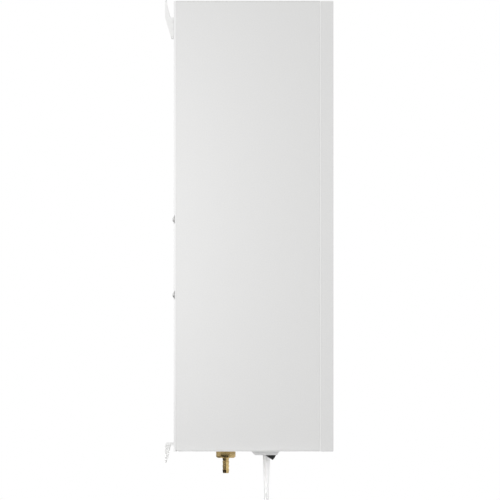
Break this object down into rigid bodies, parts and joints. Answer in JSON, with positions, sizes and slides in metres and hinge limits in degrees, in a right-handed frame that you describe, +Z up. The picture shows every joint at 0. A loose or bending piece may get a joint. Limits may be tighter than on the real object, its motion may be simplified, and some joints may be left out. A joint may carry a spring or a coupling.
{
  "type": "wall-hung electric heating boiler",
  "caption": "Slim wall-hung electric heating boiler in a white sheet-steel casing, with wall brackets, water stubs, a barbed drain fitting and a plug-in mains lead.",
  "frame": {"origin": "middle of the upper wall bracket's face against the wall", "axes": "+Z up, +Y into the wall, the front cover facing -Y, +X to the viewer's right"},
  "size_m": [0.4, 0.2619, 0.9852],
  "materials": {
    "white_enamel": "satin stove enamel on folded steel sheet",
    "white_foam": "matt foam strip",
    "screw_steel": "bright zinc plated",
    "zinc_steel": "zinc coated sheet",
    "white_plastic": "satin moulded plastic",
    "board_green": "solder mask on glass fibre board",
    "dark_window": "dark tinted window",
    "grey_plastic": "satin moulded plastic",
    "black_plastic": "satin moulded plastic",
    "red_plastic": "moulded plastic",
    "tank_steel": "stainless steel",
    "black_rubber": "matt rubber",
    "red_paint": "satin paint on pressed steel",
    "steel_braid": "braided stainless wire",
    "copper": "bright copper tube",
    "brass": "machined brass",
    "cast_iron": "coated casting",
    "motor_paint": "painted motor can"
  },
  "bodies": {
    "boiler_body": {"back_plate": "white_enamel", "left_side_panel": "white_enamel", "right_side_panel": "white_enamel", "top_panel": "white_enamel", "bottom_panel": "white_enamel", "upper_wall_bracket": "white_enamel", "lower_wall_bracket": "white_enamel", "cover_seal_left": "white_foam", "cover_seal_right": "white_foam", "rear_screw_left_lower": "screw_steel", "rear_screw_left_upper": "screw_steel", "rear_screw_right_lower": "screw_steel", "rear_screw_right_upper": "screw_steel", "front_rail": "zinc_steel", "electrical_tray": "zinc_steel", "tank_bracket": "zinc_steel", "control_housing": "white_plastic", "strain_relief": "white_plastic", "mains_lead": "white_plastic", "lead_coil": "white_plastic", "mains_plug": "white_plastic", "display_board": "board_green", "power_board": "board_green", "display_window": "dark_window", "terminal_block": "grey_plastic", "switch_moulding": "grey_plastic", "contactor": "black_plastic", "overheat_cutout": "black_plastic", "flow_sensor": "black_plastic", "coil_tie": "black_plastic", "heating_tank": "tank_steel", "element_flange": "tank_steel", "heating_element_rear": "tank_steel", "heating_element_front": "tank_steel", "element_seal": "black_rubber", "vessel_diaphragm": "black_rubber", "discharge_hose": "black_rubber", "vessel_rear_shell": "red_paint", "vessel_front_shell": "red_paint", "vessel_hose": "steel_braid", "return_pipe": "copper", "pump_pipe": "copper", "flow_pipe": "copper", "return_manifold": "brass", "air_vent": "brass", "safety_valve": "brass", "pressure_gauge": "brass", "hose_barb": "brass", "pump_volute": "cast_iron", "pump_motor": "motor_paint"},
    "front_cover": {"front_cover": "white_enamel"},
    "menu_button": {"menu_button": "grey_plastic"},
    "down_button": {"down_button": "grey_plastic"},
    "up_button": {"up_button": "grey_plastic"},
    "confirm_button": {"confirm_button": "grey_plastic"},
    "reset_button": {"reset_button": "red_plastic"},
    "pump_rotor": {"pump_rotor": "tank_steel"},
    "safety_valve_cap": {"safety_valve_cap": "red_plastic"},
    "gauge_needle": {"gauge_needle": "white_plastic"},
    "power_rocker": {"power_rocker": "black_plastic"}
  },
  "joints": [
    {"name": "cover_hinge", "type": "hinge", "parent": "boiler_body", "child": "front_cover", "pos_m": [0, -0.2427, 0.0045], "axis": [-1, 0, 0], "range_deg": [0, 30]},
    {"name": "menu_press", "type": "slide", "parent": "boiler_body", "child": "menu_button", "axis": [0, 1, 0], "range_m": [0, 0.001], "stiffness_N_per_m": 100, "springref_m": -0.0005},
    {"name": "down_press", "type": "slide", "parent": "boiler_body", "child": "down_button", "axis": [0, 1, 0], "range_m": [0, 0.001], "stiffness_N_per_m": 100, "springref_m": -0.0005},
    {"name": "up_press", "type": "slide", "parent": "boiler_body", "child": "up_button", "axis": [0, 1, 0], "range_m": [0, 0.001], "stiffness_N_per_m": 100, "springref_m": -0.0005},
    {"name": "confirm_press", "type": "slide", "parent": "boiler_body", "child": "confirm_button", "axis": [0, 1, 0], "range_m": [0, 0.001], "stiffness_N_per_m": 100, "springref_m": -0.0005},
    {"name": "reset_press", "type": "slide", "parent": "boiler_body", "child": "reset_button", "axis": [0, 1, 0], "range_m": [0, 0.002], "stiffness_N_per_m": 100, "springref_m": -0.0005},
    {"name": "rotor_spin", "type": "hinge", "parent": "boiler_body", "child": "pump_rotor", "pos_m": [0.06, -0.0947, -0.5205], "axis": [0, 1, 0], "continuous": true},
    {"name": "cap_turn", "type": "hinge", "parent": "boiler_body", "child": "safety_valve_cap", "pos_m": [0.06, -0.1493, -0.6105], "axis": [0, 1, 0], "range_deg": [0, 90]},
    {"name": "needle_swing", "type": "hinge", "parent": "boiler_body", "child": "gauge_needle", "pos_m": [0.105, -0.119, -0.6105], "axis": [0, 1, 0], "range_deg": [0, 270], "stiffness_Nm_per_rad": 0.00002},
    {"name": "rocker_tilt", "type": "hinge", "parent": "boiler_body", "child": "power_rocker", "pos_m": [-0.15, -0.15775, -0.6972], "axis": [-1, 0, 0], "range_deg": [0, 35]}
  ]
}
